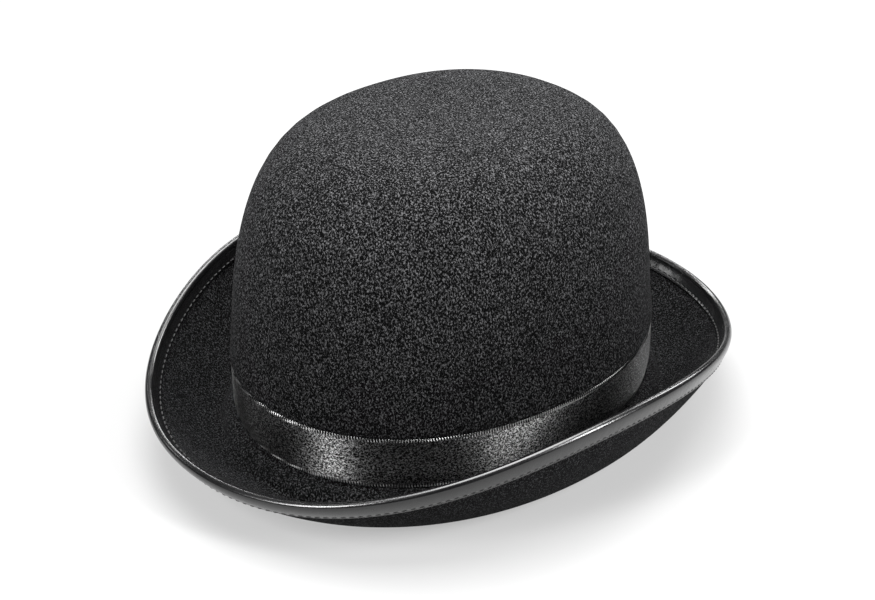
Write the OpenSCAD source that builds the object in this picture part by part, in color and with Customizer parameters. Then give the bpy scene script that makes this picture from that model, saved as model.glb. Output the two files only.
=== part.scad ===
// Bowler hat: one blocked felt hood with a bound, curled brim, a ribbon band with a flat bow,
// a leather sweatband sewn to the headline over a reed, and a satin lining.
// The hat's front is -Y, the wearer's left is +X. The lowest point of the brim lies at z = 0.

/* [Crown] */
// Length of the crown's oval at its widest, front to back
crown_length = 210; // [200:1:225]
// Width of the crown's oval at its widest
crown_width = 170; // [162:1:180]
// Squareness of the crown's oval, where 2 is an ellipse
crown_squareness = 2.14; // [2:0.01:2.4]
// Height of the crown's top above its foot
crown_height = 140.5; // [128:0.5:150]
// Height over which the wall widens from its foot
wall_height = 12; // [8:1:24]
// Share of its radius by which the foot is narrower than the wall
foot_taper = 0.02; // [0:0.005:0.04]
// Sharpness of the turn from the wall into the top
dome_shoulder = 5.2; // [3.5:0.1:5.5]
// Fullness of the rise towards the top
dome_rise = 2.4; // [2.1:0.1:3]
// Thickness of the felt
felt = 2.6; // [2:0.1:3]
// How far the felt swells out over the top edge of the ribbon
felt_roll = 0.8; // [0:0.1:1.2]

/* [Brim] */
// Length of the brim's oval, front to back
brim_length = 292; // [285:1:310]
// Width of the brim's oval from curl to curl
brim_width = 245; // [240:1:262]
// Squareness of the brim's oval, where 2 is an ellipse
brim_squareness = 2.05; // [2:0.01:2.3]
// Height of the brim's edge above the crown's foot at the front
front_rise = 15.5; // [8:0.5:20]
// Height of the brim's edge above the crown's foot at the back
back_rise = 15; // [8:0.5:20]
// Height of the curled edge above the crown's foot at the sides
side_rise = 41.5; // [28:0.5:44]
// How closely the curl keeps to the sides
side_spread = 3.2; // [1.6:0.1:3.4]
// Dip of the brim below the crown's foot at the front and back
end_dip = 9.5; // [7:0.5:12]
// Dip of the brim below the crown's foot at the sides
side_dip = 9; // [5:0.5:9]
// How far the curl leans out past its edge at the sides
side_lean = 0.5; // [0:0.5:5]

/* [Ribbon and binding] */
// Height of the ribbon's lower edge above the crown's foot
ribbon_bottom = 3; // [2.5:0.5:4]
// Height of the ribbon's upper edge above the crown's foot
ribbon_top = 29; // [24:0.5:34]
// Thickness of the ribbon
ribbon = 0.8; // [0.5:0.1:1]
// Width of the binding on each face of the brim
binding_width = 7.5; // [7:0.5:12]
// Thickness of the binding
binding = 0.6; // [0.5:0.1:0.8]
// Half width of the bow, as an angle about the crown
bow_reach = 18; // [16:1:20]

/* [Sweatband and lining] */
// Height of the sweatband's free edge above the crown's foot
sweatband_top = 37; // [32:1:42]
// Thickness of the leather
leather = 0.9; // [0.7:0.1:1]
// Radius of the reed in the fold of the sweatband
reed_radius = 0.95; // [0.8:0.05:1]
// Thickness of the lining
lining = 0.4; // [0.3:0.1:0.5]

/* [Hidden] */

section_count = 60;
step = 360 / section_count;
gap = 0.15; // clearance between skins that lie on one another
felt_black = "#2b2b2d";
satin_black = "#1c1c1f";
leather_brown = "#5a3a26";
lining_grey = "#4a4a50";

shoulder_at = 0.85; // share of the radius at which the top turns into the wall
top_steps = 6;
fillet = 4.2; // radius of the turn from the wall into the brim, at mid-felt
fillet_slope = 0.15;
belly_at = 0.25; // where the brim is lowest, as a share of its width
curl_start = 0.32; // how far out from the lowest point the brim stays flat
curl_pull = 0.15; // how steeply the curl comes up to its edge
thread = 0.3; // how far a stitch stands proud

// ---- outlines in plan, as a radius at the polar angle f ----

function oval_radius(half_x, half_y, squareness, f) =
    pow(pow(abs(cos(f)) / half_x, squareness) + pow(abs(sin(f)) / half_y, squareness), -1 / squareness);
function crown_radius(f) = oval_radius(crown_width / 2, crown_length / 2, crown_squareness, f);
function brim_radius(f) = oval_radius(brim_width / 2, brim_length / 2, brim_squareness, f);

// share of the way from the end shape (0) to the side shape (1)
function side_share(f) = pow(brim_radius(f) * abs(cos(f)) / (brim_width / 2), side_spread);
function end_or_side(f, at_end, at_side) = at_end + (at_side - at_end) * side_share(f);
function end_rise(f) = (front_rise + back_rise) / 2 + (back_rise - front_rise) / 2 * sin(f);

// ---- the mid-felt section at the polar angle f, as [radius, height above the foot] ----

function smooth(x) = let (c = max(0, min(1, x))) c * c * (3 - 2 * c);
function roll(z) = felt_roll * smooth((z - ribbon_top + 0.5) / 2) * (1 - smooth((z - ribbon_top - 3) / 18));

dome_top = crown_height - felt / 2;
function dome_height(s) =
    wall_height + (dome_top - wall_height) * pow(1 - pow(s, dome_shoulder), 1 / dome_rise);
function dome_share(z) =
    pow(1 - pow((z - wall_height) / (dome_top - wall_height), dome_rise), 1 / dome_shoulder);
function wall_share(z) =
    z > wall_height ? dome_share(z) : 1 - foot_taper * pow(1 - z / wall_height, 2);
function wall_radius(f, z) = (crown_radius(f) - felt / 2) * wall_share(z) + roll(z);

shoulder_height = dome_height(shoulder_at);
roll_end = ribbon_top + 21;
wall_levels = concat(
    [for (i = [1:3]) shoulder_height + (roll_end - shoulder_height) * i / 4],
    [roll_end, ribbon_top + 11, ribbon_top + 5, ribbon_top + 1.5, ribbon_top - 0.5, 18, 9, fillet]);

function crown_section(f) = concat(
    [for (i = [0:top_steps]) let (s = shoulder_at * i / top_steps)
        [(crown_radius(f) - felt / 2) * s, dome_height(s)]],
    [for (z = wall_levels) [wall_radius(f, z), z]]);

function cubic(a, b, c, d, t) =
    a * pow(1 - t, 3) + b * 3 * t * pow(1 - t, 2) + c * 3 * t * t * (1 - t) + d * pow(t, 3);
function quadratic(a, b, c, t) = a * pow(1 - t, 2) + b * 2 * t * (1 - t) + c * t * t;

function brim_section(f) = let (
    start = [wall_radius(f, fillet), fillet],
    corner = [wall_radius(f, fillet), 0],
    root = corner + fillet * [1, -fillet_slope],
    reach = brim_radius(f) - corner.x,
    low = end_or_side(f, end_dip, side_dip) - felt / 2,
    rise = end_or_side(f, end_rise(f), side_rise),
    belly = corner + [belly_at * reach, -low],
    edge = corner + [reach, rise],
    lean = end_or_side(f, 0, side_lean))
    concat(
        [for (t = [1/3, 2/3, 1]) quadratic(start, corner, root, t)],
        [for (t = [1/3, 2/3, 1]) cubic(root, root + 0.3 * belly_at * reach * [1, -fillet_slope],
            belly - [0.35 * belly_at * reach, 0], belly, t)],
        [for (i = [1:8]) cubic(belly, belly + [curl_start * (reach - belly_at * reach), 0],
            edge + [lean, -curl_pull * (rise + low)], edge, i / 8)]);

function hood_section(f) = concat(crown_section(f), brim_section(f));

// ---- offsets of a section ----

function turned_left(v) = [-v.y, v.x] / norm(v);
function normal_at(c, i) = c[i].x == 0 ? [0, 1] : turned_left(c[min(i + 1, len(c) - 1)] - c[max(i - 1, 0)]);
function offset_curve(c, k, first, last) = [for (i = [first:last]) c[i] + k * normal_at(c, i)];
function reversed(c) = [for (i = [len(c) - 1:-1:0]) c[i]];

// point and direction at the distance s back from the end of the curve c
function back_from_edge(c, s, i) = let (piece = norm(c[i] - c[i - 1]))
    s <= piece ? [c[i] + (c[i - 1] - c[i]) * s / piece, (c[i] - c[i - 1]) / piece]
        : back_from_edge(c, s - piece, i - 1);
function on_face(c, s, k) = let (place = back_from_edge(c, s, len(c) - 1))
    place[0] + k * turned_left(place[1]);
function around_edge(c, k) = let (place = back_from_edge(c, 0, len(c) - 1))
    [for (a = [45, 90, 135]) place[0] + k * (cos(a) * turned_left(place[1]) + sin(a) * place[1])];

// the brim's underside rests on z = 0
foot_z = -min([for (f = [-90, 90]) let (c = hood_section(f))
    for (p = offset_curve(c, -felt / 2, 0, len(c) - 1)) p.y]);

// ---- solids swept round the hat ----

function placed(f, p) = [p.x * cos(f), p.x * sin(f), p.y + foot_z];

// a closed ring whose section is the loop loops[j] at the angle j * step
module ring_of(loops) {
    m = len(loops[0]);
    n = len(loops);
    polyhedron(
        points = [for (j = [0:n - 1]) for (p = loops[j]) placed(j * step, p)],
        faces = [for (j = [0:n - 1]) for (i = [0:m - 1]) let (
            a = j * m + i, b = j * m + (i + 1) % m,
            c = (j + 1) % n * m + (i + 1) % m, d = (j + 1) % n * m + i)
            each [[a, d, c], [a, c, b]]]);
}

// a cap whose section runs from the axis out along its top and back to the axis
module cap_of(loops) {
    m = len(loops[0]) - 2;
    n = len(loops);
    last = len(loops[0]) - 1;
    polyhedron(
        points = concat([placed(0, loops[0][0]), placed(0, loops[0][last])],
            [for (j = [0:n - 1]) for (i = [1:last - 1]) placed(j * step, loops[j][i])]),
        faces = concat(
            [for (j = [0:n - 1]) [0, 2 + (j + 1) % n * m, 2 + j * m]],
            [for (j = [0:n - 1]) [2 + j * m + m - 1, 2 + (j + 1) % n * m + m - 1, 1]],
            [for (j = [0:n - 1]) for (i = [0:m - 2]) let (
                a = 2 + j * m + i, d = 2 + (j + 1) % n * m + i)
                each [[a, d, d + 1], [a, d + 1, a + 1]]]));
}

// a closed strip whose section is the loop loops[j] of placed points
module strip_of(loops) {
    m = len(loops[0]);
    n = len(loops);
    polyhedron(
        points = [for (loop = loops) for (p = loop) p],
        faces = concat(
            [[for (i = [0:m - 1]) i]],
            [[for (i = [m - 1:-1:0]) (n - 1) * m + i]],
            [for (j = [0:n - 2]) for (i = [0:m - 1]) let (
                a = j * m + i, b = j * m + (i + 1) % m, c = (j + 1) * m + (i + 1) % m, d = (j + 1) * m + i)
                each [[a, d, c], [a, c, b]]]));
}

// separate small blocks in one group; each block is its two end quadrilaterals
module blocks_of(blocks) {
    polyhedron(
        points = [for (block = blocks) for (end = block) for (p = end) p],
        faces = [for (j = [0:len(blocks) - 1]) for (face = block_faces) [for (i = face) 8 * j + i]]);
}
block_faces = concat([[0, 1, 2], [0, 2, 3], [6, 5, 4], [7, 6, 4]],
    [for (i = [0:3]) each [[i, 4 + i, 4 + (i + 1) % 4], [i, 4 + (i + 1) % 4, (i + 1) % 4]]]);

// a point between two neighbouring sections, on the flat between them
function between(f, low_point, high_point) = let (u = f / step - floor(f / step))
    (1 - u) * placed(floor(f / step) * step, low_point)
        + u * placed(floor(f / step) * step + step, high_point);

// on the crown's outside, at the height z and the distance k out from the felt
function outside(f, z, k) = let (f0 = floor(f / step) * step)
    between(f, [wall_radius(f0, z) + felt / 2 + k, z], [wall_radius(f0 + step, z) + felt / 2 + k, z]);
// on the crown's inside, at the height z and the distance k in from the felt
function inside(f, z, k) = let (f0 = floor(f / step) * step)
    between(f, [wall_radius(f0, z) - felt / 2 - k, z], [wall_radius(f0 + step, z) - felt / 2 - k, z]);
// a four-cornered section of something that lies on the outside or the inside
function outside_loop(f, z0, z1, k0, k1) =
    [outside(f, z0, k0), outside(f, z1, k0), outside(f, z1, k1), outside(f, z0, k1)];
function inside_loop(f, z0, z1, k0, k1) =
    [inside(f, z0, k1), inside(f, z1, k1), inside(f, z1, k0), inside(f, z0, k0)];

angles = [for (j = [0:section_count - 1]) j * step];

// ---- felt ----

module felt_hood() {
    color(felt_black)
        cap_of([for (f = angles) let (c = hood_section(f), last = len(c) - 1)
            concat(offset_curve(c, felt / 2, 0, last), around_edge(c, felt / 2),
                reversed(offset_curve(c, -felt / 2, 0, last)))]);
}

// ---- ribbon band and bow ----

ribbon_levels = [ribbon_top, (2 * ribbon_top + ribbon_bottom) / 3,
    (ribbon_top + 2 * ribbon_bottom) / 3, ribbon_bottom];
ribbon_face = gap + ribbon; // distance of the ribbon's face from the felt
function ribbon_side(f, k) = [for (z = ribbon_levels) [wall_radius(f, min(z, ribbon_top - 0.5)) + felt / 2 + k, z]];

module hat_band() {
    color(satin_black)
        ring_of([for (f = angles) concat(ribbon_side(f, ribbon_face), reversed(ribbon_side(f, gap)))]);
}

bow_middle = (ribbon_bottom + ribbon_top) / 2;
bow_back = ribbon_face + 0.5;
knot_reach = 3.5;
knot_half = 8.6;
// angle, half height, thickness of the flattened loops from one end of the bow to the other
bow_half = [[knot_reach, knot_half - 0.6, 1.9], [0.4 * bow_reach, 10.4, 3.4], [0.7 * bow_reach, 11.8, 2.9],
    [bow_reach, 12.4, 1.4]];
bow_stations = concat([for (i = [3:-1:0]) [-bow_half[i][0], bow_half[i][1], bow_half[i][2]]], bow_half);

module band_bow() {
    color(satin_black)
        strip_of([for (s = bow_stations)
            outside_loop(s[0], bow_middle - s[1], bow_middle + s[1], bow_back + 0.7, bow_back + 0.7 + s[2])]);
}

module knot_block(reach, half, k0, k1) {
    strip_of([for (f = [-reach, 0, reach]) outside_loop(f, bow_middle - half, bow_middle + half, k0, k1)]);
}

module bow_knot() {
    color(satin_black)
        difference() {
            knot_block(knot_reach, knot_half, bow_back, bow_back + 3.3);
            knot_block(knot_reach + 1, knot_half - 0.5, bow_back + 0.6, bow_back + 2.7);
        }
}

stitch_pitch = 5;
module band_stitching() {
    color(satin_black)
        blocks_of([for (i = [0:4]) let (z = ribbon_bottom + 2 + stitch_pitch * i)
            [for (f = [1, 1.4]) outside_loop(f, z, z + 2.6, ribbon_face, ribbon_face + thread)]]);
}

// ---- brim binding ----

binding_arcs = [binding_width, 2 / 3 * binding_width, 1 / 3 * binding_width, 0];
binding_face = felt / 2 + gap + binding; // distance of the binding's face from mid-felt
function binding_side(c, k) = concat(
    [for (s = binding_arcs) on_face(c, s, k)], around_edge(c, k),
    [for (i = [3:-1:0]) on_face(c, binding_arcs[i], -k)]);

module brim_binding() {
    color(satin_black)
        ring_of([for (f = angles) let (c = hood_section(f))
            concat(binding_side(c, binding_face), reversed(binding_side(c, felt / 2 + gap)))]);
}

// a stitch from the share u0 to u1 of the way between two sections, on one face of the binding
function binding_stitch(low_curve, high_curve, f, u0, u1, s, side) = [for (u = [u0, u1])
    let (near = binding_face, far = binding_face + thread)
    [for (corner = [[s + 0.3, near], [s + 0.3, far], [s - 0.3, far], [s - 0.3, near]])
        let (arc = side > 0 ? corner[0] : 2 * s - corner[0])
        (1 - u) * placed(f, on_face(low_curve, arc, side * corner[1]))
            + u * placed(f + step, on_face(high_curve, arc, side * corner[1]))]];

module binding_stitching() {
    stitch_line = binding_width - 1.3;
    color(satin_black)
        blocks_of([for (f = angles) let (c0 = hood_section(f), c1 = hood_section(f + step))
            for (u = [0.14, 0.64]) for (side = [1, -1])
                binding_stitch(c0, c1, f, u, u + 0.22, stitch_line, side)]);
}

// ---- sweatband ----

// the reed's centre, in from the felt and above the foot
reed_in = leather + gap + reed_radius + 0.15;
reed_up = 1.4;
fold_radius = reed_radius + gap + leather / 2; // mid-leather round the reed
function at_wall(f, z, k) = [wall_radius(f, max(z, fillet)) - felt / 2 - k, z];
// mid-leather from the free edge down the inside, round the reed and up behind it
function leather_path(f) = concat(
    [at_wall(f, sweatband_top, reed_in + fold_radius + 0.6),
        at_wall(f, sweatband_top / 2, reed_in + fold_radius + 0.2)],
    [for (a = [0, -60, -120, -180]) at_wall(f, reed_up + fold_radius * sin(a),
        reed_in + fold_radius * cos(a))],
    [at_wall(f, 4.6, reed_in - fold_radius)]);
function leather_loop(f) = let (c = leather_path(f), last = len(c) - 1)
    concat(offset_curve(c, leather / 2, 0, last), reversed(offset_curve(c, -leather / 2, 0, last)));

module sweatband() {
    color(leather_brown)
        ring_of([for (f = angles) leather_loop(f)]);
}

module sweatband_reed() {
    color("ivory")
        ring_of([for (f = angles) [for (a = [0:-60:-300])
            at_wall(f, reed_up, reed_in) + reed_radius * [cos(a), sin(a)]]]);
}

leather_face = reed_in + fold_radius + leather / 2; // distance of the leather's face from the felt

module sweatband_stitching() {
    color("ivory")
        blocks_of([for (f = angles) for (u = [0.15, 0.65])
            [for (v = [u, u + 0.25]) let (a = f + v * step)
                inside_loop(a, fillet, fillet + 0.6, leather_face, leather_face + thread)]]);
}

sweatband_bow_height = 22;
module sweatband_bow() {
    color(satin_black)
        strip_of([for (s = [[84, 4.5, 1.2], [89, 1.6, 2], [91, 1.6, 2], [96, 4.5, 1.2]])
            inside_loop(s[0], sweatband_bow_height - s[1], sweatband_bow_height + s[1],
                leather_face + 0.5, leather_face + 0.5 + s[2])]);
}

// ---- lining ----

lining_outer = felt / 2 + 2 * gap; // distance of the lining's outside from mid-felt
lining_inner = lining_outer + lining;
seam_index = top_steps - 1; // the tip ends and the side starts at this point of the section
wall_last = top_steps + len(wall_levels) - 2;

module lining_tip() {
    color(lining_grey)
        cap_of([for (f = angles) let (c = crown_section(f))
            concat(offset_curve(c, -lining_outer, 0, seam_index),
                reversed(offset_curve(c, -lining_inner, 0, seam_index)))]);
}

module lining_side() {
    color(lining_grey)
        ring_of([for (f = angles) let (c = crown_section(f))
            concat(offset_curve(c, -lining_outer, seam_index, wall_last),
                reversed(offset_curve(c, -lining_inner, seam_index, wall_last)))]);
}

piping_radius = 0.9;
module lining_piping() {
    color(satin_black)
        ring_of([for (f = angles) let (
            c = crown_section(f),
            middle = c[seam_index] - (lining_inner + piping_radius + gap) * normal_at(c, seam_index))
            [for (a = [0:-60:-300]) middle + piping_radius * [cos(a), sin(a)]]]);
}

module size_tab() {
    color("whitesmoke")
        strip_of([for (f = [66, 72, 78]) inside_loop(f, 26, 45, 1.6, 1.9)]);
}

felt_hood();
hat_band();
band_stitching();
band_bow();
bow_knot();
brim_binding();
binding_stitching();
sweatband();
sweatband_reed();
sweatband_stitching();
sweatband_bow();
lining_tip();
lining_side();
lining_piping();
size_tab();
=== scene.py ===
"""A black felt bowler hat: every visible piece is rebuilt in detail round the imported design."""
import math

import bmesh
import bpy
import numpy as np
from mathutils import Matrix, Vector


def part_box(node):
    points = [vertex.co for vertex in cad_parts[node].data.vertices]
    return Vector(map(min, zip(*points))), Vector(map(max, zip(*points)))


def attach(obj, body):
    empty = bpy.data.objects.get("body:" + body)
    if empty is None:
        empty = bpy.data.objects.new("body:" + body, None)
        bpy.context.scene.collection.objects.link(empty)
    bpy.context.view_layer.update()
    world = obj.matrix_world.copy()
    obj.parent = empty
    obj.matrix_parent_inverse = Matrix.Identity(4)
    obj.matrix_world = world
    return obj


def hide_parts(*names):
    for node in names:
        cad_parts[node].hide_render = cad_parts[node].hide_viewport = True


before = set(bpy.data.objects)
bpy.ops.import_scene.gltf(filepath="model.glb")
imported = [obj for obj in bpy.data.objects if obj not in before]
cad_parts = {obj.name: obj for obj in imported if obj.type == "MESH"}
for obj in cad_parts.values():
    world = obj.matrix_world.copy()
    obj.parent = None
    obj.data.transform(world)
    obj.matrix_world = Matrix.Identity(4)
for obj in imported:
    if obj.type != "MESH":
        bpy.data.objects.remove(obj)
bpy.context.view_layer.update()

MM = 0.001

# ---- the hat's driving sizes, in millimetres, as in the design ----
CROWN_LENGTH, CROWN_WIDTH, CROWN_SQUARENESS, CROWN_HEIGHT = 210, 170, 2.14, 140.5
WALL_HEIGHT, FOOT_TAPER, DOME_SHOULDER, DOME_RISE = 12, 0.02, 5.2, 2.4
FELT, FELT_ROLL = 2.6, 0.8
BRIM_LENGTH, BRIM_WIDTH, BRIM_SQUARENESS = 292, 245, 2.05
FRONT_RISE, BACK_RISE, SIDE_RISE, SIDE_SPREAD = 15.5, 15, 41.5, 3.2
END_DIP, SIDE_DIP, SIDE_LEAN = 9.5, 9, 0.5
RIBBON_BOTTOM, RIBBON_TOP, RIBBON = 3, 29, 0.8
BINDING_WIDTH, BINDING = 7.5, 0.6
SWEATBAND_TOP, LEATHER, REED_RADIUS, LINING = 37, 0.9, 0.95, 0.4
GAP = 0.15
FILLET, FILLET_SLOPE = 4.2, 0.15
BELLY_AT, CURL_START, CURL_PULL = 0.25, 0.32, 0.15
SHOULDER_AT = 0.85

# the height of the crown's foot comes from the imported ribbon, whose lower edge is RIBBON_BOTTOM above it
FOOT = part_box("hat_band")[0][2] / MM - RIBBON_BOTTOM


# ---- the hat's section at polar angles f, as [radius, height above the foot] ----

def oval_radius(half_x, half_y, squareness, f):
    return ((np.abs(np.cos(f)) / half_x) ** squareness
            + (np.abs(np.sin(f)) / half_y) ** squareness) ** (-1 / squareness)


def crown_radius(f):
    return oval_radius(CROWN_WIDTH / 2, CROWN_LENGTH / 2, CROWN_SQUARENESS, f)


def brim_radius(f):
    return oval_radius(BRIM_WIDTH / 2, BRIM_LENGTH / 2, BRIM_SQUARENESS, f)


def smooth(x):
    c = np.clip(x, 0, 1)
    return c * c * (3 - 2 * c)


def roll(z):
    """How far the felt swells out over the top of the ribbon."""
    return FELT_ROLL * smooth((z - RIBBON_TOP + 0.5) / 2) * (1 - smooth((z - RIBBON_TOP - 3) / 18))


DOME_TOP = CROWN_HEIGHT - FELT / 2


def dome_height(s):
    return WALL_HEIGHT + (DOME_TOP - WALL_HEIGHT) * (1 - s ** DOME_SHOULDER) ** (1 / DOME_RISE)


def wall_share(z):
    z = np.asarray(z, float)
    up = np.clip((z - WALL_HEIGHT) / (DOME_TOP - WALL_HEIGHT), 0, 1)
    foot = 1 - FOOT_TAPER * (1 - np.clip(z / WALL_HEIGHT, 0, 1)) ** 2
    return np.where(z > WALL_HEIGHT, (1 - up ** DOME_RISE) ** (1 / DOME_SHOULDER), foot)


def wall_radius(f, z):
    """Mid-felt radius of the crown at angles f and heights z."""
    z = np.asarray(z, float)
    return (crown_radius(f) - FELT / 2) * wall_share(z) + roll(z)


def cubic(a, b, c, d, t):
    t = t[None, :, None]
    return (a[:, None] * (1 - t) ** 3 + 3 * b[:, None] * t * (1 - t) ** 2
            + 3 * c[:, None] * t * t * (1 - t) + d[:, None] * t ** 3)


def crown_curve(f, dome_steps=22, wall_levels=None, wall_steps=44):
    s = np.linspace(0, SHOULDER_AT, dome_steps)
    z = wall_levels
    if z is None:
        z = np.linspace(dome_height(SHOULDER_AT), FILLET, wall_steps + 1)[1:]
    dome = np.stack([(crown_radius(f) - FELT / 2)[:, None] * s, np.tile(dome_height(s), (len(f), 1))], -1)
    wall = np.stack([wall_radius(f[:, None], z), np.tile(z, (len(f), 1))], -1)
    return np.concatenate([dome, wall], 1)


def brim_curve(f, flat_steps=8, curl_steps=34):
    foot = wall_radius(f, FILLET)
    pair = lambda across, up: np.stack([across + 0 * f, up + 0 * f], -1)
    corner = pair(foot, 0.0)
    start = corner + pair(0.0, FILLET)
    root = corner + FILLET * np.array([1, -FILLET_SLOPE])
    side = (brim_radius(f) * np.abs(np.cos(f)) / (BRIM_WIDTH / 2)) ** SIDE_SPREAD
    end_rise = (FRONT_RISE + BACK_RISE) / 2 + (BACK_RISE - FRONT_RISE) / 2 * np.sin(f)
    rise = end_rise + (SIDE_RISE - end_rise) * side
    low = END_DIP + (SIDE_DIP - END_DIP) * side - FELT / 2
    reach = brim_radius(f) - foot
    belly = corner + pair(BELLY_AT * reach, -low)
    edge = corner + pair(reach, rise)
    steps = lambda n: np.linspace(0, 1, n + 1)[1:]
    slope = (0.3 * BELLY_AT * reach)[:, None] * np.array([1, -FILLET_SLOPE])
    third = lambda a, b: a + (b - a) * 2 / 3
    return np.concatenate([
        cubic(start, third(start, corner), third(root, corner), root, steps(6)),
        cubic(root, root + slope, belly - pair(0.35 * BELLY_AT * reach, 0.0), belly, steps(flat_steps)),
        cubic(belly, belly + pair(CURL_START * (1 - BELLY_AT) * reach, 0.0),
              edge + pair(SIDE_LEAN * side, -CURL_PULL * (rise + low)), edge, steps(curl_steps)),
    ], 1)


def directions(curve):
    d = np.gradient(curve, axis=1)
    return d / np.linalg.norm(d, axis=-1, keepdims=True)


def normals(curve):
    d = directions(curve)
    n = np.stack([-d[..., 1], d[..., 0]], -1)
    n[curve[..., 0] == 0] = (0, 1)
    return n


def offset(curve, distance):
    return curve + distance * normals(curve)


def nose(curve, distance, angles):
    """Points round the end of the curve, from its left face to its right face."""
    d, n = directions(curve)[:, -1], normals(curve)[:, -1]
    a = np.radians(angles)[None, :, None]
    return curve[:, -1:] + distance * (np.cos(a) * n[:, None] + np.sin(a) * d[:, None])


def back_from_end(curve, arcs):
    """Points of the curve and its normals at distances back from its end."""
    n = normals(curve)
    length = np.linalg.norm(np.diff(curve, axis=1), axis=-1)
    back = np.concatenate([np.cumsum(length[:, ::-1], 1)[:, ::-1], np.zeros((len(curve), 1))], 1)
    at = lambda values: np.array([[np.interp(arcs, b[::-1], v[::-1, k]) for k in (0, 1)]
                                  for b, v in zip(back, values)]).transpose(0, 2, 1)
    return at(curve), at(n)


# ---- from sections to meshes ----

def turn(count, start=0.0):
    return start + np.linspace(0, 2 * np.pi, count, endpoint=False)


def handmade(p):
    """The small unevenness of a blocked hat, in millimetres: the same smooth warp moves every piece."""
    x, y, z = p[:, 0], p[:, 1], p[:, 2]
    up = smooth(z / 25)
    shift = np.stack([
        0.35 * np.sin(0.043 * y + 0.9) * up + 0.22 * np.sin(0.071 * z + 0.052 * y + 2.0) * up,
        0.30 * np.sin(0.049 * x + 0.3) * up + 0.25 * np.sin(0.063 * z - 0.058 * x) * up,
        0.35 * np.sin(0.037 * x + 0.033 * y + 1.1) * up,
    ], -1)
    return p + shift


def placed(f, loops):
    """(angles, points, 2) sections to (angles, points, 3) places in millimetres."""
    r, z = loops[..., 0], loops[..., 1]
    f = f[:, None]
    return np.stack([r * np.cos(f), r * np.sin(f), z + FOOT], -1)


def make_mesh(name, points, face_groups, finish, uv=None):
    """points are in millimetres; each group of faces is an array of equal polygons; uv has a pair for every
    corner of a face."""
    mesh = bpy.data.meshes.new(name)
    corners = np.concatenate([g.ravel() for g in face_groups]).astype(np.int32)
    sizes = np.concatenate([np.full(len(g), g.shape[1]) for g in face_groups]).astype(np.int32)
    warped = handmade(np.asarray(points, float).reshape(-1, 3)) * MM
    mesh.vertices.add(len(warped))
    mesh.vertices.foreach_set("co", warped.ravel())
    mesh.loops.add(len(corners))
    mesh.loops.foreach_set("vertex_index", corners)
    mesh.polygons.add(len(sizes))
    mesh.polygons.foreach_set("loop_start", np.concatenate([[0], np.cumsum(sizes)[:-1]]).astype(np.int32))
    mesh.update(calc_edges=True)
    if uv is not None:
        layer = mesh.uv_layers.new(name="cloth")
        layer.data.foreach_set("uv", (np.asarray(uv, float).reshape(-1, 2) * MM).ravel())
    face_outward(mesh)
    mesh.polygons.foreach_set("use_smooth", np.ones(len(sizes), bool))
    mesh.materials.append(finish)
    piece = bpy.data.objects.new(name, mesh)
    bpy.context.scene.collection.objects.link(piece)
    return piece


def face_outward(mesh):
    edit = bmesh.new()
    edit.from_mesh(mesh)
    bmesh.ops.recalc_face_normals(edit, faces=edit.faces)
    edit.to_mesh(mesh)
    edit.free()


def ring_faces(n, m, closed_section=True, closed_turn=True):
    """The quads of n sections of m points, and the (turn, section) steps of their corners."""
    j = np.arange(n if closed_turn else n - 1)
    i = np.arange(m if closed_section else m - 1)
    j, i = (a.ravel() for a in np.meshgrid(j, i, indexing="ij"))
    steps_j = np.stack([j, j, j + 1, j + 1], -1)
    steps_i = np.stack([i, i + 1, i + 1, i], -1)
    return (steps_j % n) * m + steps_i % m, steps_j, steps_i


def corner_uv(u, v, steps_j, steps_i):
    """u runs round the hat and v along the section; both have one more value than there are steps."""
    return np.stack([u[steps_j], v[steps_i]], -1)


def lengths(points, closed=True):
    """Length along a row of points at each of them, and back at the first if it is closed."""
    row = np.concatenate([points, points[:1]]) if closed else points
    return np.concatenate([[0], np.cumsum(np.linalg.norm(np.diff(row, axis=0), axis=1))])


def round_lengths(f, radius):
    return lengths(np.stack([radius * np.cos(f), radius * np.sin(f)], -1))


def ring(name, f, loops, finish):
    """A closed ring swept through the section loops."""
    n, m = loops.shape[:2]
    faces, sj, si = ring_faces(n, m)
    uv = corner_uv(round_lengths(f, loops[:, 0, 0]), lengths(loops[0]), sj, si)
    return make_mesh(name, placed(f, loops), [faces], finish, uv)


def cap(name, f, loops, finish):
    """A closed cap whose section starts and ends on the hat's axis."""
    n, m = len(f), loops.shape[1] - 2
    rows = loops[:, 1:-1]
    quads, sj, si = ring_faces(n, m, closed_section=False)
    ends = np.array([[0, 0, loops[0, 0, 1] + FOOT], [0, 0, loops[0, -1, 1] + FOOT]])
    points = np.concatenate([ends, placed(f, rows).reshape(-1, 3)])
    j = np.arange(n)
    here, following = 2 + j * m, 2 + (j + 1) % n * m
    top = np.stack([0 * j, here, following], -1)
    bottom = np.stack([0 * j + 1, following + m - 1, here + m - 1], -1)
    u = round_lengths(f, rows[:, m // 3, 0])
    v = lengths(rows[0])
    fan = lambda a, b, row: np.stack([np.stack([a, b], 1), np.full((n, 2), v[row])], -1)
    hub = lambda row: np.stack([np.stack([u[:-1]], 1), np.full((n, 1), v[row])], -1)
    uv = np.concatenate([
        corner_uv(u, v, sj, si).reshape(-1, 2),
        np.concatenate([hub(0), fan(u[:-1], u[1:], 0)], 1).reshape(-1, 2),
        np.concatenate([hub(m - 1), fan(u[1:], u[:-1], m - 1)], 1).reshape(-1, 2),
    ])
    return make_mesh(name, points, [quads + 2, top, bottom], finish, uv)


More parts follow.
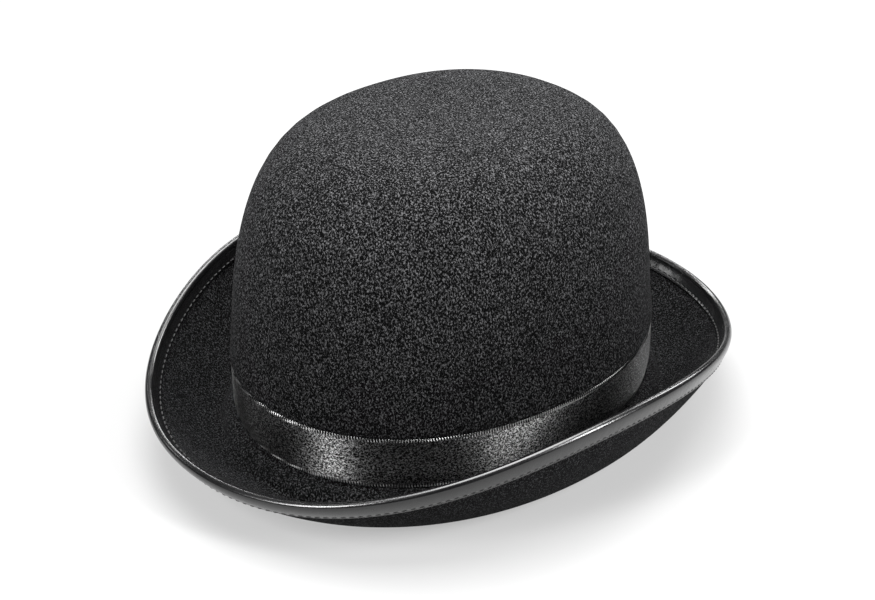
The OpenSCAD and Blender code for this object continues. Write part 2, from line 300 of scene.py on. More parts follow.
def block(name, points, finish, closed_turn=False):
    """A solid through an array of (sections, points round the section, 3) places; its ends are capped."""
    n, m = points.shape[:2]
    faces, sj, si = ring_faces(n, m, closed_turn=closed_turn)
    u = lengths(points[:, 0], closed_turn) if closed_turn else np.append(lengths(points[:, 0], False), 0)
    uv = corner_uv(u, lengths(points[0]), sj, si).reshape(-1, 2)
    groups = [faces]
    if not closed_turn:
        groups.append(np.array([np.arange(m), (n - 1) * m + np.arange(m)[::-1]]))
        uv = np.concatenate([uv, np.zeros((2 * m, 2))])
    return make_mesh(name, points, groups, finish, uv)


def threads(name, starts, ends, lifts, radius, finish, sides=7, rings=6):
    """Short stitches: each is a rounded thread from start to end, raised by lift in its middle."""
    starts, ends, lifts = (np.asarray(a, float) for a in (starts, ends, lifts))
    unit = lambda v: v / np.linalg.norm(v, axis=1, keepdims=True)
    along, up = unit(ends - starts), unit(lifts)
    across = unit(np.cross(along, up))
    up = np.cross(across, along)
    t = np.linspace(0, 1, rings)
    girth = radius * np.sqrt(np.clip(1 - (2 * t - 1) ** 4, 0.05, 1))
    a = np.linspace(0, 2 * np.pi, sides, endpoint=False)
    centre = (starts[:, None] + (ends - starts)[:, None] * t[None, :, None]
              + lifts[:, None] * np.sin(np.pi * t)[None, :, None])
    circle = (np.cos(a)[None, :, None] * across[:, None] + np.sin(a)[None, :, None] * up[:, None])
    points = centre[:, :, None] + girth[None, :, None, None] * circle[:, None]
    quads = ring_faces(rings, sides, closed_turn=False)[0]
    shift = np.arange(len(starts)) * rings * sides
    body = (quads[None] + shift[:, None, None]).reshape(-1, 4)
    tips = np.array([np.arange(sides)[::-1], (rings - 1) * sides + np.arange(sides)])
    return make_mesh(name, points, [body, (tips[None] + shift[:, None, None]).reshape(-1, sides)], finish)


def on_wall(f, z, k, side=1):
    """Places at angle f and height z, at distance k out from the felt's outer face (side 1) or in from its
    inner face (side -1)."""
    r = wall_radius(f, z) + side * (FELT / 2 + k)
    return np.stack(np.broadcast_arrays(r * np.cos(f), r * np.sin(f), z + FOOT), -1)


# ---- finishes ----

class Finish:
    """A Principled material. Its inputs are set as plain values, or by nodes through drive()."""

    def __init__(self, name, **values):
        self.material = bpy.data.materials.new(name)
        self.material.use_nodes = True
        self.tree = self.material.node_tree
        self.surface = self.tree.nodes["Principled BSDF"]
        for key, value in values.items():
            self.surface.inputs[key.replace("_", " ")].default_value = value

    def node(self, kind, inputs=None, output=0, **settings):
        made = self.tree.nodes.new("ShaderNode" + kind)
        for key, value in settings.items():
            setattr(made, key, value)
        for key, value in (inputs or {}).items():
            if isinstance(value, bpy.types.NodeSocket):
                self.tree.links.new(value, made.inputs[key])
            else:
                made.inputs[key].default_value = value
        return made.outputs[output]

    def drive(self, key, socket):
        self.tree.links.new(socket, self.surface.inputs[key])

    def place(self, scale, turned=(0, 0, 0), cloth=False):
        """Object coordinates, or those of the cloth, stretched by scale, which is in waves per metre."""
        source = self.node("UVMap", uv_map="cloth") if cloth else self.node("TexCoord", output="Object")
        return self.node("Mapping", {"Vector": source, "Scale": scale, "Rotation": turned})

    def noise(self, place, detail=3.0, roughness=0.6, distortion=0.0):
        return self.node("TexNoise", {"Vector": place, "Scale": 1.0, "Detail": detail,
                                      "Roughness": roughness, "Distortion": distortion})

    def wave(self, place, direction="X"):
        """Ribs, one to each unit of place."""
        return self.node("TexWave", {"Vector": place, "Scale": math.pi / 10, "Distortion": 0.0},
                         output=1, bands_direction=direction)

    def spread(self, socket, low, high, start=0.0, end=1.0):
        return self.node("MapRange", {"Value": socket, "From Min": low, "From Max": high,
                                      "To Min": start, "To Max": end})

    def tint(self, socket, dark, light, low=0.0, high=1.0):
        made = self.tree.nodes.new("ShaderNodeValToRGB")
        made.color_ramp.elements[0].position, made.color_ramp.elements[1].position = low, high
        made.color_ramp.elements[0].color = (*dark, 1)
        made.color_ramp.elements[1].color = (*light, 1)
        self.tree.links.new(socket, made.inputs["Fac"])
        return made.outputs[0]

    def math(self, operation, a, b):
        return self.node("Math", {0: a, 1: b}, operation=operation)

    def shaded(self, colour, factor, low, high):
        """colour multiplied by a grey that follows factor."""
        shade = self.spread(factor, 0.0, 1.0, low, high)
        return self.node("Mix", {0: 1.0, 6: colour, 7: shade}, output=2,
                         data_type="RGBA", blend_type="MULTIPLY")

    def bump(self, height, strength, distance, below=None):
        inputs = {"Height": height, "Strength": strength, "Distance": distance}
        if below is not None:
            inputs["Normal"] = below
        return self.node("Bump", inputs)


def grey(value, blue=1.0):
    return (value, value, value * blue)


def felt_finish():
    """Brushed wool felt: matted flecks of under a millimetre, with a fine nap."""
    f = Finish("felt", Roughness=0.95, Sheen_Weight=0.008, Sheen_Roughness=0.5, Specular_IOR_Level=0.04,
               Sheen_Tint=(0.9, 0.93, 1, 1))
    flecks = f.noise(f.place((1450, 1450, 950), turned=(0.25, 0.2, 0)),
                     detail=3.0, roughness=0.7, distortion=0.3)
    hairs = f.noise(f.place((2600, 2600, 1200)), detail=2.0)
    patches = f.noise(f.place((38, 38, 30)), detail=2.0)
    colour = f.tint(flecks, grey(0.0008, 1.06), grey(0.095, 1.03), 0.51, 0.67)
    colour = f.shaded(colour, patches, 0.85, 1.15)
    # painted light and shade: the felt's colour is darkened low down on the brim and lightened up the
    # crown, most of all on top, where the light falls
    height = f.node("SeparateXYZ", {"Vector": f.node("TexCoord", output="Object")}, output=2)
    colour = f.shaded(colour, f.spread(height, 0.03, 0.15), 0.6, 1.35)
    f.drive("Base Color", colour)
    lumps = f.bump(flecks, 0.55, 0.0009)
    f.drive("Normal", f.bump(hairs, 0.35, 0.0003, lumps))
    return f.material


def ribbon_finish():
    """Satin ribbon: warp floats run along it, so its gloss spreads across it in broken sparkles."""
    f = Finish("ribbon", Metallic=0.95, Anisotropic=1.0, Anisotropic_Rotation=0.25)
    sparkle = f.noise(f.place((950, 1250, 1), cloth=True), detail=2.5, roughness=0.7, distortion=0.8)
    broad = f.noise(f.place((40, 90, 1), cloth=True), detail=2.0)
    warp = f.noise(f.place((160, 3600, 1), cloth=True), detail=1.0)
    ribs = f.wave(f.place((760, 0, 1), turned=(0, 0, 0.45), cloth=True))
    across = f.node("SeparateXYZ", {"Vector": f.node("UVMap", uv_map="cloth")}, output=1)
    from_middle = f.math("ABSOLUTE", f.math("SUBTRACT", across, 0.013), 0.0)
    selvedge = f.spread(from_middle, 0.0108, 0.0115)
    colour = f.shaded(f.tint(sparkle, grey(0.006), grey(0.42), 0.47, 0.64), broad, 0.8, 1.2)
    woven = f.tint(ribs, grey(0.008), grey(0.3), 0.3, 0.8)
    f.drive("Base Color", f.node("Mix", {0: selvedge, 6: colour, 7: woven}, output=2, data_type="RGBA"))
    f.drive("Roughness", f.spread(sparkle, 0.3, 0.7, 0.36, 0.42))
    floats = f.bump(warp, 0.25, 0.0002)
    f.drive("Normal", f.bump(sparkle, 0.25, 0.0003, floats))
    f.drive("Tangent", f.node("Tangent", direction_type="UV_MAP", uv_map="cloth"))
    return f.material


def binding_finish():
    """Smooth satin tape, glossier than the band, with a fine rib across it."""
    f = Finish("binding_tape", Specular_IOR_Level=0.5, Coat_Weight=0.35, Coat_Roughness=0.18)
    ribs = f.noise(f.place((2200, 260, 1), cloth=True), detail=1.0)
    wrinkles = f.noise(f.place((420, 90, 1), cloth=True), detail=2.0, distortion=0.5)
    broad = f.noise(f.place((60, 60, 1), cloth=True), detail=2.0)
    f.drive("Base Color", f.shaded(f.tint(ribs, grey(0.002), grey(0.006, 1.08), 0.3, 0.7), broad, 0.8, 1.2))
    f.drive("Roughness", f.spread(broad, 0.3, 0.7, 0.2, 0.28))
    folds = f.bump(wrinkles, 0.2, 0.0004)
    f.drive("Normal", f.bump(ribs, 0.2, 0.0002, folds))
    return f.material


def thread_finish(name, dark, light, gloss):
    """Twisted sewing thread: fine slanted plies."""
    f = Finish(name, Roughness=gloss, Sheen_Weight=0.2, Sheen_Roughness=0.4)
    plies = f.noise(f.place((2600, 2600, 5200), turned=(0.6, 0.5, 0.7)), detail=1.0)
    f.drive("Base Color", f.tint(plies, dark, light, 0.35, 0.65))
    f.drive("Normal", f.bump(plies, 0.5, 0.0002))
    return f.material


def leather_finish():
    """Smooth sheepskin: small pebbled grain with fine pores, paler where it has been rubbed."""
    f = Finish("leather", Specular_IOR_Level=0.45, Coat_Weight=0.06, Coat_Roughness=0.35)
    grain = f.node("TexVoronoi", {"Vector": f.place((1100, 1100, 1100)), "Scale": 1.0, "Randomness": 1.0})
    pores = f.noise(f.place((2400, 2400, 2400)), detail=2.0)
    clouds = f.noise(f.place((55, 55, 80)), detail=3.0)
    colour = f.tint(clouds, (0.11, 0.048, 0.022), (0.24, 0.118, 0.058), 0.3, 0.72)
    f.drive("Base Color", f.shaded(colour, grain, 1.1, 0.72))
    f.drive("Roughness", f.spread(clouds, 0.3, 0.7, 0.42, 0.56))
    pebbles = f.bump(grain, 0.4, 0.0004)
    f.drive("Normal", f.bump(pores, 0.25, 0.0002, pebbles))
    return f.material


def lining_finish():
    """Lining satin: plain-coloured, with long floats and a soft gloss."""
    f = Finish("lining_satin", Specular_IOR_Level=0.6, Anisotropic=0.5,
               Sheen_Weight=0.25, Sheen_Roughness=0.3)
    weave = f.noise(f.place((3000, 420, 1), cloth=True), detail=1.0)
    creases = f.noise(f.place((70, 60, 1), cloth=True), detail=3.0, distortion=0.8)
    colour = f.tint(weave, grey(0.075, 1.12), grey(0.12, 1.14), 0.3, 0.7)
    f.drive("Base Color", f.shaded(colour, creases, 0.8, 1.2))
    f.drive("Roughness", f.spread(creases, 0.3, 0.7, 0.32, 0.46))
    folds = f.bump(creases, 0.3, 0.002)
    f.drive("Normal", f.bump(weave, 0.25, 0.0002, folds))
    f.drive("Tangent", f.node("Tangent", direction_type="UV_MAP", uv_map="cloth"))
    return f.material


def piping_finish():
    f = Finish("piping", Specular_IOR_Level=0.55, Sheen_Weight=0.15, Sheen_Roughness=0.3)
    fibres = f.noise(f.place((1800, 900, 1), turned=(0, 0, 0.5), cloth=True), detail=2.0)
    f.drive("Base Color", f.tint(fibres, grey(0.015), grey(0.05, 1.08), 0.3, 0.7))
    f.drive("Roughness", f.spread(fibres, 0.3, 0.7, 0.36, 0.5))
    f.drive("Normal", f.bump(fibres, 0.4, 0.0003))
    return f.material


def reed_finish():
    """Split cane: pale, with long fibres."""
    f = Finish("reed", Specular_IOR_Level=0.4)
    fibres = f.noise(f.place((60, 1800, 1), cloth=True), detail=2.0)
    f.drive("Base Color", f.tint(fibres, (0.45, 0.36, 0.23), (0.74, 0.67, 0.53), 0.3, 0.7))
    f.drive("Roughness", f.spread(fibres, 0.3, 0.7, 0.4, 0.6))
    f.drive("Normal", f.bump(fibres, 0.3, 0.0003))
    return f.material


def tab_finish():
    """A blank woven tab: plain weave, over and under at a third of a millimetre."""
    f = Finish("tab_cloth", Roughness=0.85, Sheen_Weight=0.2, Sheen_Roughness=0.5)
    checks = f.node("TexChecker", {"Vector": f.place((3000, 3000, 1), cloth=True), "Scale": 1.0,
                                   "Color1": (1, 1, 1, 1), "Color2": (0, 0, 0, 1)}, output=1)
    soil = f.noise(f.place((90, 90, 90)), detail=3.0)
    colour = f.tint(soil, (0.58, 0.56, 0.5), (0.78, 0.77, 0.73), 0.3, 0.7)
    f.drive("Base Color", f.shaded(colour, checks, 0.86, 1.0))
    f.drive("Normal", f.bump(checks, 0.3, 0.0002))
    return f.material


# ---- the pieces ----

OVERHANG = 0.4  # how far the felt stands out over the ribbon's upper edge


def make_hood(finish):
    """The felt. The ribbon is drawn tight, so the felt swells out just above it."""
    f = turn(360)
    at_ribbon = np.linspace(33.6, 27.6, 17)
    levels = np.concatenate([np.linspace(dome_height(SHOULDER_AT), 34.5, 33)[1:], at_ribbon,
                             np.linspace(26, FILLET, 9)])
    curve = np.concatenate([crown_curve(f, wall_levels=levels), brim_curve(f)], 1)
    z = curve[..., 1]
    on_crown = np.arange(curve.shape[1]) < 22 + len(levels)
    above = z - RIBBON_TOP
    swell = OVERHANG * smooth((above + 0.1) / 0.9) * (1 - smooth((above - 1.2) / 12)) * on_crown
    loops = np.concatenate([
        curve + normals(curve) * (FELT / 2 + swell)[..., None],
        nose(curve, FELT / 2, [30, 60, 90, 120, 150]),
        offset(curve, -FELT / 2)[:, ::-1],
    ], 1)
    return cap("felt_hood_shell", f, loops, finish)


RIBS_ROUND = 460  # woven ribs round each edge of the ribbon
SELVEDGE = 2.2  # width of a woven edge
RIDGE = 0.2  # height of its ribs


def make_band(finish):
    f = turn(5 * RIBS_ROUND)
    upper_edge = [0, 0.2, 0.5, 0.9, 1.3, 1.7, 2.1, 2.6, 3.4]
    lower_edge = [22.6, 23.4, 23.9, 24.4, 24.9, 25.3, 25.6, 25.85, 26]
    z = RIBBON_TOP - np.concatenate([upper_edge, np.arange(5, 22, 2), lower_edge])
    to_edge = np.minimum(RIBBON_TOP - z, z - RIBBON_BOTTOM)
    woven = 1 - smooth((to_edge - 0.55 * SELVEDGE) / (0.45 * SELVEDGE))
    phase = RIBS_ROUND * f[:, None] + 2.6 * z
    ridges = RIDGE * woven * np.cos(phase)
    rounding = -0.28 * (1 - smooth(to_edge / 0.45)) - 0.18 * (1 - smooth((RIBBON_TOP - z) / 1.6))
    ripple = 0.07 * np.sin(17 * f[:, None] + 0.12 * z) * np.sin(5 * f[:, None] + 1) * (1 - woven)
    at = np.degrees(f[:, None])
    lap = 0.25 * smooth((at - 1.1) / 0.2) * (1 - smooth((at - 4) / 12))
    teeth = 0.16 * np.cos(phase) * (z < RIBBON_BOTTOM + 0.3)
    heights = z + teeth
    hug = np.minimum(z, RIBBON_TOP - 0.5)
    base = wall_radius(f[:, None], hug) + FELT / 2 + GAP
    outer = np.stack([base + RIBBON - 0.1 + ridges + rounding + ripple + lap, heights], -1)
    back = slice(None, None, -2)
    inner = np.stack([base[:, back], heights[:, back]], -1)
    return ring("hat_band_ribbon", f, np.concatenate([outer, inner], 1), finish)


BINDING_STITCHES = 231
STITCH_LINE = BINDING_WIDTH - 1.3  # distance of the stitches from the brim's edge
PUCKER = 0.2  # how deep they draw the tape in


def pucker(arcs, phase):
    """How far the tape is drawn in by its stitches, at distances from the brim's edge and round the hat."""
    return PUCKER * np.exp(-((arcs - STITCH_LINE) / 0.55) ** 2) * (0.6 + 0.4 * np.cos(phase))


def make_binding(finish):
    f = turn(6 * BINDING_STITCHES)
    curve = brim_curve(f)
    near_stitches = [1, 0.98, 0.95, 0.91, 0.87, 0.83, 0.79, 0.74]
    near_nose = [0.67, 0.56, 0.43, 0.3, 0.17, 0.07, 0]
    arcs = BINDING_WIDTH * np.array(near_stitches + near_nose)
    spots, across = back_from_end(curve, arcs)
    phase = BINDING_STITCHES * f[:, None]
    hem = 0.3 * (1 - smooth((BINDING_WIDTH - arcs) / 0.4))
    wrinkle = 0.02 * np.sin(131 * f[:, None] + 2 * np.sin(23 * f[:, None]) + 0.5 * arcs)
    wrinkle = wrinkle + 0.02 * np.sin(57 * f[:, None] + 1.5 * np.sin(9 * f[:, None]))
    wrinkle = wrinkle * smooth((arcs - 1) / 2) * smooth((STITCH_LINE + 1 - arcs) / 2)
    face = FELT / 2 + GAP + BINDING - hem
    upper = spots + across * (face - pucker(arcs, phase) + wrinkle)[..., None]
    lower = spots - across * (face - pucker(arcs, phase + 2.4) + wrinkle * 0.7)[..., None]
    inside = FELT / 2 + GAP
    lining_rows = slice(None, None, 4)
    loops = np.concatenate([
        upper, nose(curve, FELT / 2 + GAP + BINDING, np.arange(20, 161, 20)), lower[:, ::-1],
        (spots - across * inside)[:, lining_rows], nose(curve, inside, [150, 110, 70, 30]),
        (spots + across * inside)[:, lining_rows][:, ::-1],
    ], 1)
    return ring("brim_binding_tape", f, loops, finish)


def make_binding_stitches(finish):
    count = BINDING_STITCHES
    starts, ends, lifts = [], [], []
    for side in (1, -1):
        first = turn(count, start=0.1 if side > 0 else 0.1 + 0.38 * 2 * np.pi / count)
        last = first + 0.68 * 2 * np.pi / count
        rows = []
        for f in (first, last):
            spot, across = back_from_end(brim_curve(f), np.array([STITCH_LINE]))
            rows.append(placed(f, spot + across * side * (FELT / 2 + GAP + BINDING - 0.12))[:, 0])
            out = placed(f, across * side)[:, 0] - (0, 0, FOOT)
        starts.append(rows[0])
        ends.append(rows[1])
        lifts.append(0.16 * out)
    rows = (np.concatenate(a) for a in (starts, ends, lifts))
    return threads("brim_binding_stitches", *rows, 0.24, finish)


REED_IN = LEATHER + GAP + REED_RADIUS + 0.15
REED_UP = 1.4
FOLD_RADIUS = REED_RADIUS + GAP + LEATHER / 2
LEATHER_FACE = REED_IN + FOLD_RADIUS + LEATHER / 2


def at_wall(f, z, k):
    """Section points in from the felt's inner face."""
    z = z + 0 * f[:, None]
    return np.stack([wall_radius(f[:, None], np.maximum(z, FILLET)) - FELT / 2 - k, z], -1)


def make_sweatband(finish):
    f = turn(720)
    z = np.concatenate([SWEATBAND_TOP - np.array([0, 0.15, 0.5, 1, 1.8, 2.2, 2.5, 2.8, 3.2]),
                        np.linspace(32, REED_UP + 0.6, 22)])
    back_seam = np.degrees(f[:, None]) - 90
    lap = 0.45 * smooth(back_seam / 0.35 + 0.5) * (1 - smooth((back_seam - 1) / 5))
    waves = 0.22 * np.sin(9 * f[:, None] + 0.8) * (z / SWEATBAND_TOP) ** 3
    lean = np.interp(z, [REED_UP, SWEATBAND_TOP / 2, SWEATBAND_TOP], [0, 0.2, 0.6])
    path = at_wall(f, z, REED_IN + FOLD_RADIUS + lean + waves)
    a = np.radians(np.arange(0, -181, -15))
    hem = at_wall(f, REED_UP + FOLD_RADIUS * np.sin(a), REED_IN + FOLD_RADIUS * np.cos(a))
    behind = at_wall(f, np.array([2.2, 3.4, 4.6]), REED_IN - FOLD_RADIUS)
    path = np.concatenate([path, hem, behind], 1)
    below_edge = SWEATBAND_TOP - path[0, :, 1]
    face_rows = np.arange(path.shape[1]) < len(z)
    groove = 0.2 * np.exp(-((below_edge - 2.5) / 0.35) ** 2)
    groove = groove + 0.16 * np.exp(-((path[0, :, 1] - 6.6) / 0.4) ** 2)
    groove = np.where(face_rows, groove, 0)
    sunk = 0.16 * np.exp(-((path[0, :, 1] - 4.5) / 0.5) ** 2) * face_rows
    thin = 0.25 * (1 - smooth(below_edge / 0.6)) * face_rows
    # the path runs down the leather: its left face looks out at the felt and its right face in at the head
    head_side = LEATHER / 2 - groove - sunk - thin + lap * face_rows
    felt_side = LEATHER / 2 - thin + 0 * f[:, None]
    n = normals(path)
    loops = np.concatenate([path + n * felt_side[..., None], (path - n * head_side[..., None])[:, ::-1]], 1)
    return ring("sweatband_leather", f, loops, finish)


def make_reed(finish):
    f = turn(240)
    a = np.radians(np.arange(0, 360, 20))
    loops = at_wall(f, REED_UP + REED_RADIUS * np.sin(a), REED_IN + REED_RADIUS * np.cos(a))
    return ring("sweatband_reed_cane", f, loops, finish)


def make_sweatband_stitches(finish):
    count = 144
    first = turn(count)
    last = first + 0.66 * 2 * np.pi / count
    depth = LEATHER_FACE - 0.08
    starts, ends = (on_wall(f, 4.5 + 0 * f, depth, -1) for f in (first, last))
    lifts = -0.14 * np.stack([np.cos(first), np.sin(first), 0 * first], -1)
    # the zigzag that closes the leather's back seam
    z = np.arange(7.5, 34, 1.6)
    left, right = np.radians(90 - 1.2) + 0 * z, np.radians(90 + 1.2) + 0 * z
    seam_depth = LEATHER_FACE + 0.35
    rise = z + 0.8
    crossing = on_wall(right, rise, seam_depth, -1)
    starts = np.concatenate([starts, on_wall(left, z, seam_depth, -1), crossing])
    ends = np.concatenate([ends, crossing, on_wall(left, z + 1.6, seam_depth, -1)])
    inward = np.tile([0, -0.12, 0], (2 * len(z), 1))
    return threads("sweatband_stitches", starts, ends, np.concatenate([lifts, inward]), 0.2, finish)


def make_lining_side(finish):
    f = turn(720)
    curve = crown_curve(f, dome_steps=7, wall_steps=60)
    seam_height = dome_height(SHOULDER_AT * 5 / 6)
    keep = (curve[0, :, 1] <= seam_height + 0.01) & (curve[0, :, 1] >= 17.5)
    n = normals(curve)[:, keep]
    curve = curve[:, keep]
    down = seam_height - curve[0, :, 1]
    gathers = smooth((down - 1.5) / 9) * (1 - smooth((down - 14) / 75))
    folds = 0.5 + 0.5 * np.sin(46 * f[:, None] + 1.3 * np.sin(7 * f[:, None]) + 0.012 * down)
    fine = 0.5 + 0.5 * np.sin(91 * f[:, None] + 2 * np.sin(5 * f[:, None] + 1))
    folds = folds + 0.45 * fine * (1 - smooth(down / 40))
    sag = 0.5 * smooth(down / 50) * (0.5 + 0.5 * np.sin(6 * f[:, None] + 0.05 * down))
    stand = FELT / 2 + 2 * GAP + 0.05 + 1.25 * folds * gathers + sag
    outer = curve - n * stand[..., None]
    inner = curve - n * (stand + LINING)[..., None]
    return ring("lining_side_satin", f, np.concatenate([outer, inner[:, ::-1]], 1), finish)


def make_lining_tip(finish):
    f = turn(360)
    curve = crown_curve(f, dome_steps=37, wall_steps=20)
    share = np.linspace(0, SHOULDER_AT, 37)
    keep = np.arange(curve.shape[1]) <= 30
    n = normals(curve)[:, keep]
    curve = curve[:, keep]
    s = share[:31] / share[30]
    fade = smooth(s / 0.35) * (1 - smooth((s - 0.8) / 0.2))
    wrinkle = 0.5 + 0.3 * np.sin(5 * f[:, None] + 5 * s + 0.6) + 0.2 * np.sin(11 * f[:, None] - 9 * s)
    stand = FELT / 2 + 2 * GAP + 0.9 * wrinkle * fade
    outer = curve - n * stand[..., None]
    inner = curve - n * (stand + LINING)[..., None]
    return cap("lining_tip_satin", f, np.concatenate([outer, inner[:, ::-1]], 1), finish)


def make_piping(finish):
    twists, sides, radius = 170, 14, 0.86
    f = turn(twists * 8)
    # the seam lies at the sixth of the seven dome points
    curve = crown_curve(f, dome_steps=7, wall_steps=50)
    seam = (curve - normals(curve) * (FELT / 2 + 2 * GAP + LINING + 0.9 + GAP))[:, 5:6]
    a = np.linspace(0, -2 * np.pi, sides, endpoint=False)[None]
    girth = radius + 0.08 * np.cos(3 * a + twists * f[:, None])
    loops = seam + np.stack([girth * np.cos(a), girth * np.sin(a)], -1)
    return ring("lining_piping_cord", f, loops, finish)


# ---- bows ----

BOW_MIDDLE = (RIBBON_BOTTOM + RIBBON_TOP) / 2
RIBBON_FACE = GAP + RIBBON
BOW_BACK = RIBBON_FACE + 0.5


def cloth_tube(name, path, across, wall, finish, thickness=0.45):
    """A ribbon sewn into a loop. path is (steps, rows, 2) of places [angle in degrees, distance from the
    wall], across the heights of the rows, and wall places them."""
    d = np.roll(path, -1, 0) - np.roll(path, 1, 0)
    d = d * (1.5, 1)
    d = d / np.linalg.norm(d, axis=-1, keepdims=True)
    n = np.stack([-d[..., 1] / 1.5, d[..., 0]], -1)
    faces = [path + n * thickness / 2, path - n * thickness / 2]
    places = [wall(np.radians(p[..., 0]), across, p[..., 1]) for p in faces]
    loop = np.concatenate([places[0], places[1][:, ::-1]], 1)
    return block(name, loop, finish, closed_turn=True)


def make_band_bow(finish):
    """One ribbon sewn into a flat loop and pinched in the middle, where its pleats are tight."""
    steps, rows = 200, 34
    t = np.linspace(0, 2 * np.pi, steps, endpoint=False)[:, None]
    w = np.linspace(-1, 1, rows)[None]
    reach = 18.0
    # the loop runs along the front to one end and home along the back
    angle = reach * np.sign(np.cos(t)) * np.abs(np.cos(t)) ** 0.8
    share = np.abs(angle) / reach
    front = np.sin(t) > 0
    half = np.interp(share, [0, 0.2, 0.4, 0.7, 1], [7.4, 8.0, 10.4, 11.8, 12.4])
    thick = np.interp(share, [0, 0.2, 0.4, 0.7, 0.92, 1], [1.5, 1.9, 3.4, 2.9, 2.0, 1.4])
    pinch = 1 - smooth((share - 0.1) / 0.75)
    pleats = 0.5 * pinch * np.cos(2.5 * np.pi * w) + 0.22 * pinch * np.cos(5.5 * np.pi * w + 4 * share)
    swell = np.abs(np.sin(t)) ** 0.5
    middle = BOW_BACK + 0.7 + thick / 2
    lift = np.where(front, 1.0, -1.0) * (thick / 2 - 0.25) * swell
    k = middle + lift + pleats * np.where(front, 1.0, 0.25) * swell * 0.8 - 0.15 * (1 - np.abs(w)) * share
    ends = 0.35 * share ** 6 * np.cos(np.pi * w)
    path = np.stack(np.broadcast_arrays(angle - np.sign(angle) * ends, k), -1)
    heights = BOW_MIDDLE + half * w
    return cloth_tube("band_bow_loops", path, heights, on_wall, finish)


def make_knot(finish):
    """The ribbon wrapped round the bow's middle, in soft pleats."""
    steps, rows = 120, 26
    t = np.linspace(0, 2 * np.pi, steps, endpoint=False)[:, None]
    w = np.linspace(-1, 1, rows)[None]
    squareness = 0.45
    round_off = lambda v: np.sign(v) * np.abs(v) ** squareness
    front = smooth(np.sin(t) * 2)
    pleats = 0.22 * np.cos(2.5 * np.pi * w + 0.4 * np.cos(t)) * front
    half_height, half_depth = 8.25, 1.4
    z = BOW_MIDDLE + (half_height + 0.15 * np.cos(3 * w)) * round_off(np.cos(t))
    k = BOW_BACK + 1.65 + (half_depth + pleats - 0.3 * np.abs(w) ** 3 * front) * round_off(np.sin(t))
    waist = 3.4 - 0.35 * np.abs(np.sin(t)) + 0.08 * np.sin(5 * t)
    f = waist * w
    centre = np.stack(np.broadcast_arrays(k, z), -1)
    d = np.roll(centre, -1, 0) - np.roll(centre, 1, 0)
    d = d / np.linalg.norm(d, axis=-1, keepdims=True)
    n = np.stack([d[..., 1], -d[..., 0]], -1)
    faces = [centre + n * 0.2, centre - n * 0.2]
    places = [on_wall(np.radians(f), p[..., 1], p[..., 0]) for p in faces]
    loop = np.concatenate([places[0], places[1][:, ::-1]], 1)
    return block("bow_knot_wrap", loop, finish, closed_turn=True)


def make_band_stitches(finish):
    z = RIBBON_BOTTOM + 2 + 5.0 * np.arange(5)
    f = np.radians(1.2) + 0 * z
    lift = np.tile([0.12, 0, 0], (len(z), 1))
    starts = on_wall(f, z, RIBBON_FACE + 0.12)
    ends = on_wall(f, z + 2.6, RIBBON_FACE + 0.12)
    return threads("hat_band_stitches", starts, ends, lift, 0.16, finish, sides=10, rings=9)


def make_sweatband_bow(finish):
    """A small ribbon bow, sewn flat over the leather's back seam."""
    steps, rows = 160, 20
    t = np.linspace(0, 2 * np.pi, steps, endpoint=False)[:, None]
    w = np.linspace(-1, 1, rows)[None]
    angle = 6.0 * np.sign(np.cos(t)) * np.abs(np.cos(t)) ** 0.8
    share = np.abs(angle) / 6.0
    half = np.interp(share, [0, 0.17, 0.6, 1], [1.6, 1.9, 3.9, 4.5])
    thick = np.interp(share, [0, 0.2, 0.6, 0.93, 1], [1.5, 1.9, 1.9, 1.3, 1.0])
    pinch = 1 - smooth((share - 0.1) / 0.7)
    front = np.sin(t) > 0
    lift = np.where(front, 1.0, -1.0) * (thick / 2 - 0.15) * np.abs(np.sin(t)) ** 0.5
    k = LEATHER_FACE + 1.65 + lift + 0.2 * pinch * np.cos(3 * np.pi * w) * front
    path = np.stack(np.broadcast_arrays(90 + angle, k), -1)
    inside = lambda f, z, k: on_wall(f, z, k, -1)
    return cloth_tube("sweatband_bow_loops", path, 22 + half * w, inside, finish, thickness=0.3)


def make_size_tab(finish):
    """A blank tab, tucked behind the sweatband with its lower end."""
    across = np.radians(np.linspace(66, 78, 40))[:, None]
    up = np.linspace(26, 45, 30)[None]
    curl = 0.25 * smooth((up - 36) / 9) * (1 + 0.5 * np.sin(9 * across))
    frayed = up + 0.1 * np.sin(70 * across) * (up > 44)
    near = on_wall(across, frayed, 1.6 + curl, -1)
    far = on_wall(across, frayed, 1.9 + curl, -1)
    return block("size_tab_blank", np.concatenate([near, far[:, ::-1]], 1), finish)


# ---- camera, floor and light ----

CAMERA_AZIMUTH, CAMERA_ELEVATION, CAMERA_DISTANCE = 230.31, 30.05, 0.8
LENS, SENSOR = 69.4, 36.0
AIM_HEIGHT, AIM_ACROSS = 0.05224, -0.00336


def towards(azimuth, elevation):
    """The direction from the hat to a viewer at this azimuth and elevation."""
    a, e = math.radians(azimuth), math.radians(elevation)
    return Vector((math.sin(a) * math.cos(e), -math.cos(a) * math.cos(e), math.sin(e)))


def make_camera():
    data = bpy.data.cameras.new("camera")
    data.lens, data.sensor_width, data.sensor_fit = LENS, SENSOR, "HORIZONTAL"
    data.clip_start, data.clip_end = 0.01, 50
    camera = bpy.data.objects.new("camera", data)
    bpy.context.scene.collection.objects.link(camera)
    a = math.radians(CAMERA_AZIMUTH)
    aim = Vector((math.cos(a) * AIM_ACROSS, math.sin(a) * AIM_ACROSS, AIM_HEIGHT))
    out = towards(CAMERA_AZIMUTH, CAMERA_ELEVATION)
    camera.location = aim + out * CAMERA_DISTANCE
    camera.rotation_euler = out.to_track_quat("Z", "Y").to_euler()
    bpy.context.scene.camera = camera


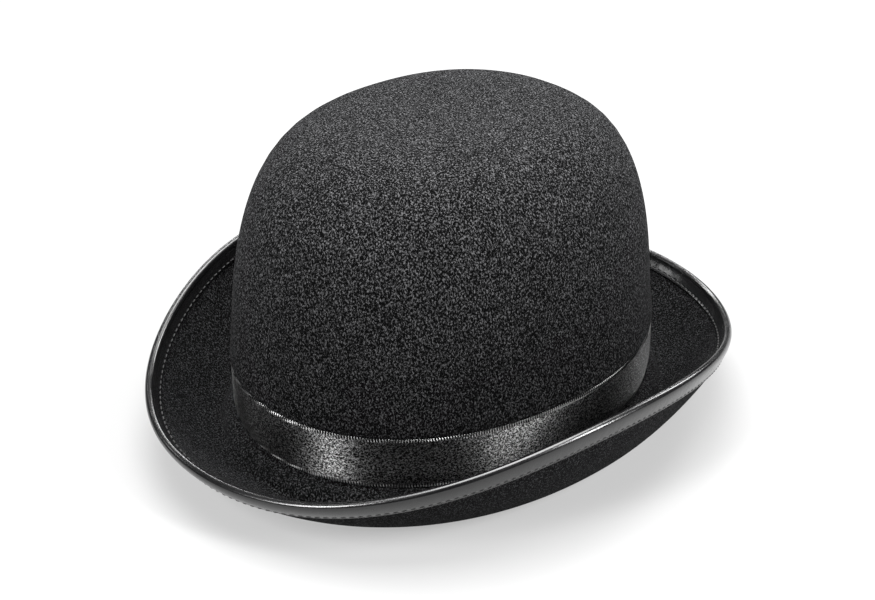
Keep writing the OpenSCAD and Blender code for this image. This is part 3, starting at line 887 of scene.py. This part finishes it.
def softbox(name, azimuth, elevation, distance, width, height, power):
    """A rectangular light that faces the hat's crown; azimuth as for the camera."""
    data = bpy.data.lights.new(name, "AREA")
    data.shape, data.size, data.size_y, data.energy = "RECTANGLE", width, height, power
    light = bpy.data.objects.new(name, data)
    bpy.context.scene.collection.objects.link(light)
    out = towards(azimuth, elevation)
    light.location = Vector((0, 0, 0.06)) + out * distance
    light.rotation_euler = out.to_track_quat("Z", "Y").to_euler()


def make_floor():
    f = Finish("floor", Roughness=0.9, Specular_IOR_Level=0.1,
               Emission_Color=(1, 1, 1, 1), Emission_Strength=0.42)
    cloud = f.noise(f.place((3, 3, 3)), detail=1.0)
    f.drive("Base Color", f.tint(cloud, grey(0.2), grey(0.21), 0.3, 0.7))
    reach = 30.0
    mesh = bpy.data.meshes.new("floor")
    corners = [(-reach, -reach, 0), (reach, -reach, 0), (reach, reach, 0), (-reach, reach, 0)]
    mesh.from_pydata(corners, [], [(0, 1, 2, 3)])
    mesh.materials.append(f.material)
    floor = bpy.data.objects.new("floor", mesh)
    floor.location.z = -0.0002
    bpy.context.scene.collection.objects.link(floor)


def make_light():
    world = bpy.data.worlds.new("studio")
    world.use_nodes = True
    world.node_tree.nodes["Background"].inputs["Color"].default_value = (0.95, 0.97, 1, 1)
    world.node_tree.nodes["Background"].inputs["Strength"].default_value = 0.04
    bpy.context.scene.world = world
    softbox("back", 50, 65, 1.4, 0.6, 0.6, 6)
    softbox("strip", 62, 27, 1.4, 1.3, 0.12, 8.75)
    softbox("kicker", 122, 29, 1.4, 0.2, 0.14, 0.9)
    softbox("overhead", 50, 84, 1.4, 1.1, 1.0, 38)
    softbox("left", 182, 36, 1.4, 0.3, 0.7, 22)
    softbox("right", 291, 34, 1.4, 0.24, 0.7, 23)
    softbox("rim", 8, 36, 1.4, 0.3, 0.6, 10)
    bpy.context.scene.view_settings.view_transform = "Standard"


# ---- putting the hat together ----

def put(piece, slot, *nodes):
    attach(piece, "root")
    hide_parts(*nodes)
    return piece


def build():
    felt, ribbon, binding = felt_finish(), ribbon_finish(), binding_finish()
    black_thread = thread_finish("thread_black", grey(0.008), grey(0.035), 0.5)
    light_thread = thread_finish("thread_light", (0.34, 0.3, 0.23), (0.66, 0.6, 0.5), 0.65)
    hood = put(make_hood(felt), "felt", "felt_hood")
    band = put(make_band(ribbon), "ribbon", "hat_band")
    put(make_band_stitches(black_thread), "thread_black", "band_stitching")
    bow = put(make_band_bow(ribbon), "ribbon", "band_bow")
    knot = put(make_knot(ribbon), "ribbon", "bow_knot")
    tape = put(make_binding(binding), "binding_tape", "brim_binding")
    put(make_binding_stitches(black_thread), "thread_black", "binding_stitching")
    leather = put(make_sweatband(leather_finish()), "leather", "sweatband")
    put(make_reed(reed_finish()), "reed", "sweatband_reed")
    put(make_sweatband_stitches(light_thread), "thread_light", "sweatband_stitching")
    small_bow = put(make_sweatband_bow(ribbon), "ribbon", "sweatband_bow")
    satin = lining_finish()
    side = put(make_lining_side(satin), "lining_satin", "lining_side")
    tip = put(make_lining_tip(satin), "lining_satin", "lining_tip")
    put(make_piping(piping_finish()), "piping", "lining_piping")
    tab = put(make_size_tab(tab_finish()), "tab_cloth", "size_tab")


build()
make_floor()
make_light()
make_camera()
